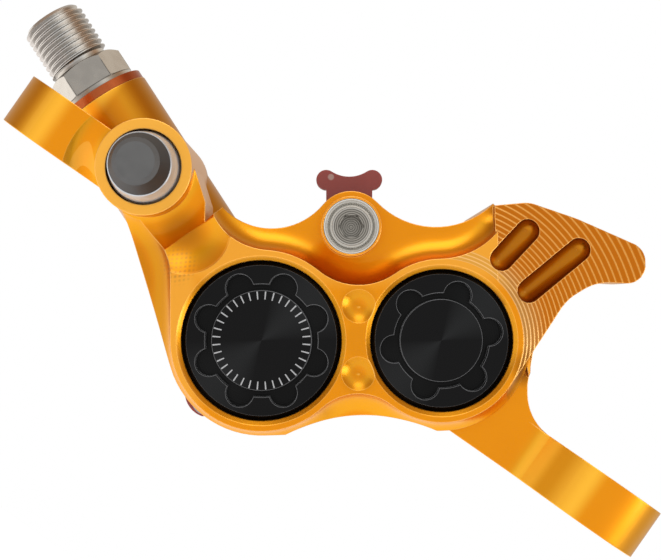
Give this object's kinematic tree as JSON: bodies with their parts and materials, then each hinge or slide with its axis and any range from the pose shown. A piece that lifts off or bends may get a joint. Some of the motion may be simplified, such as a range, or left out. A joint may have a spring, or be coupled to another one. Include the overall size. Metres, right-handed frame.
{
  "type": "bicycle disc brake caliper",
  "caption": "Post-mount hydraulic disc brake caliper with one-piece orange body, pads, spacer, bleed screw and hose connector.",
  "frame": {"origin": "midway between the two bolt slots, on the faces of the ears that rest on the mounting posts", "axes": "+Z along the bolts, away from the posts; +X along the row of bolts, away from the hose; +Y towards the wheel, so the outer face with the bore caps looks along -Y"},
  "size_m": [0.0961, 0.0492, 0.0465],
  "materials": {
    "anodised_orange": "satin orange anodised",
    "anodised_black": "satin black anodised",
    "black_rubber": "smooth",
    "piston_steel": "ground",
    "pad_steel": "satin",
    "friction_compound": "rough pressed compound",
    "red_plastic": "moulded plastic",
    "spring_steel": "satin",
    "stainless": "turned stainless",
    "copper": "bare copper",
    "bleed_steel": "dull turned steel",
    "grey_rubber": "matt rubber"
  },
  "bodies": {
    "caliper": {"body": "anodised_orange", "cap_large": "anodised_black", "cap_small": "anodised_black", "o_ring_large": "black_rubber", "o_ring_small": "black_rubber", "transport_spacer": "red_plastic", "pad_spring": "spring_steel", "pad_pin": "stainless", "pin_clip": "stainless", "hose_connector": "stainless", "copper_washer": "copper", "pressure_seal_large_outboard": "black_rubber", "pressure_seal_large_inboard": "black_rubber", "pressure_seal_small_outboard": "black_rubber", "pressure_seal_small_inboard": "black_rubber", "dust_seal_large_outboard": "black_rubber", "dust_seal_large_inboard": "black_rubber", "dust_seal_small_outboard": "black_rubber", "dust_seal_small_inboard": "black_rubber"},
    "outboard_pad": {"pad_plate_outboard": "pad_steel", "friction_outboard": "friction_compound"},
    "inboard_pad": {"pad_plate_inboard": "pad_steel", "friction_inboard": "friction_compound"},
    "large_piston_outboard": {"piston_large_outboard": "piston_steel"},
    "large_piston_inboard": {"piston_large_inboard": "piston_steel"},
    "small_piston_outboard": {"piston_small_outboard": "piston_steel"},
    "small_piston_inboard": {"piston_small_inboard": "piston_steel"},
    "bleed_screw": {"bleed_screw": "bleed_steel"},
    "bleed_cap": {"bleed_cap": "grey_rubber"}
  },
  "joints": [
    {"name": "outboard_pad_slide", "type": "slide", "parent": "caliper", "child": "outboard_pad", "axis": [0, 1, 0], "range_m": [0, 0.0006], "stiffness_N_per_m": 1500},
    {"name": "inboard_pad_slide", "type": "slide", "parent": "caliper", "child": "inboard_pad", "axis": [0, -1, 0], "range_m": [0, 0.0006]},
    {"name": "large_piston_outboard_slide", "type": "slide", "parent": "caliper", "child": "large_piston_outboard", "axis": [0, 1, 0], "range_m": [0, 0.0006]},
    {"name": "large_piston_inboard_slide", "type": "slide", "parent": "caliper", "child": "large_piston_inboard", "axis": [0, -1, 0], "range_m": [0, 0.0006]},
    {"name": "small_piston_outboard_slide", "type": "slide", "parent": "caliper", "child": "small_piston_outboard", "axis": [0, 1, 0], "range_m": [0, 0.0006]},
    {"name": "small_piston_inboard_slide", "type": "slide", "parent": "caliper", "child": "small_piston_inboard", "axis": [0, -1, 0], "range_m": [0, 0.0006]},
    {"name": "bleed_screw_turn", "type": "hinge", "parent": "caliper", "child": "bleed_screw", "pos_m": [-0.02683, -0.004, 0.00474], "axis": [0, -1, 0], "range_deg": [0, 180]},
    {"name": "bleed_cap_pull", "type": "slide", "parent": "bleed_screw", "child": "bleed_cap", "axis": [0, -1, 0], "range_m": [0, 0.015]}
  ],
  "couplings": [
    {"joint": "inboard_pad_slide", "follows": "outboard_pad_slide", "ratio": 1},
    {"joint": "large_piston_outboard_slide", "follows": "outboard_pad_slide", "ratio": 1},
    {"joint": "large_piston_inboard_slide", "follows": "outboard_pad_slide", "ratio": 1},
    {"joint": "small_piston_outboard_slide", "follows": "outboard_pad_slide", "ratio": 1},
    {"joint": "small_piston_inboard_slide", "follows": "outboard_pad_slide", "ratio": 1}
  ]
}
